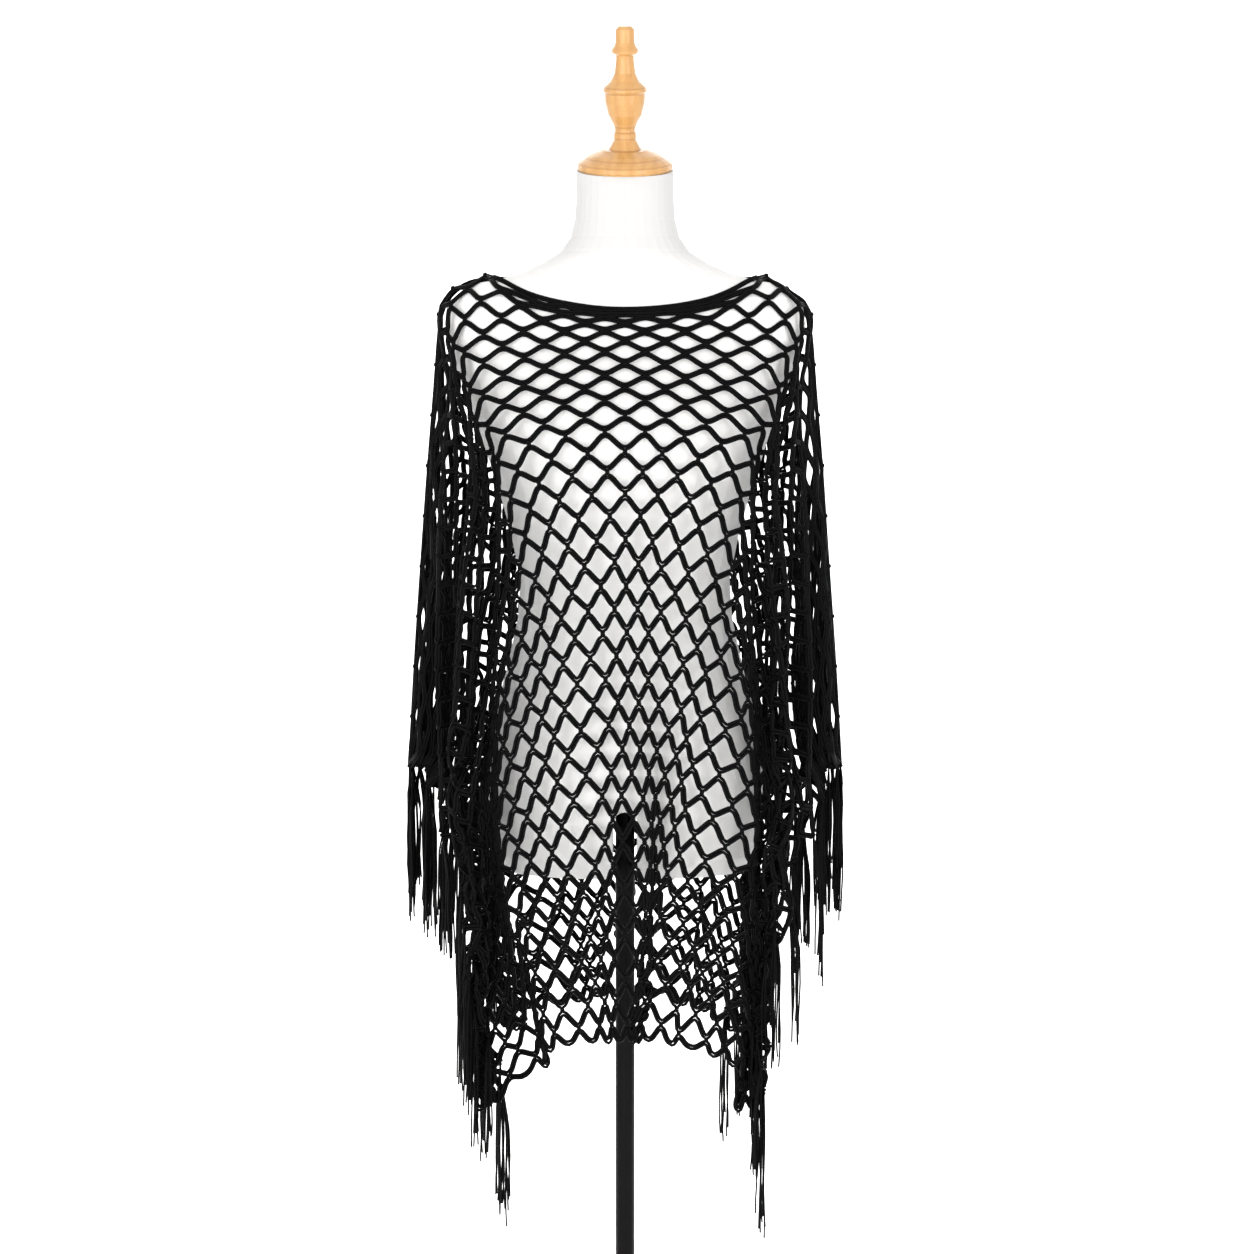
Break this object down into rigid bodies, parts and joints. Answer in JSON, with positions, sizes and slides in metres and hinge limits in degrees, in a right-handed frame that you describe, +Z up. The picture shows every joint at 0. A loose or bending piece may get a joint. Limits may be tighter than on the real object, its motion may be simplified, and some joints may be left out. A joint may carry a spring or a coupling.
{
  "type": "fringed net poncho on a dress form",
  "caption": "Open diamond-net poncho of two oblong panels with fringed sides, draped over a limbless dress form on a pole stand.",
  "frame": {"origin": "on the floor, under the middle of the round foot", "axes": "+Z up along the pole, the garment's front faces -Y, the viewer's right is +X"},
  "size_m": [0.491, 0.38, 1.7028],
  "materials": {
    "net": "knotted black cord, slight sheen",
    "fringe": "loose black cord",
    "form": "smooth matt white",
    "wood": "turned light wood, thin varnish",
    "stand": "satin black"
  },
  "bodies": {
    "root": {"front_panel": "net", "back_panel": "net", "front_left_fringe": "fringe", "front_right_fringe": "fringe", "back_left_fringe": "fringe", "back_right_fringe": "fringe", "dress_form": "form", "neck_cap": "wood", "pole": "stand", "pole_collar": "stand", "foot_plate": "stand"}
  },
  "joints": []
}
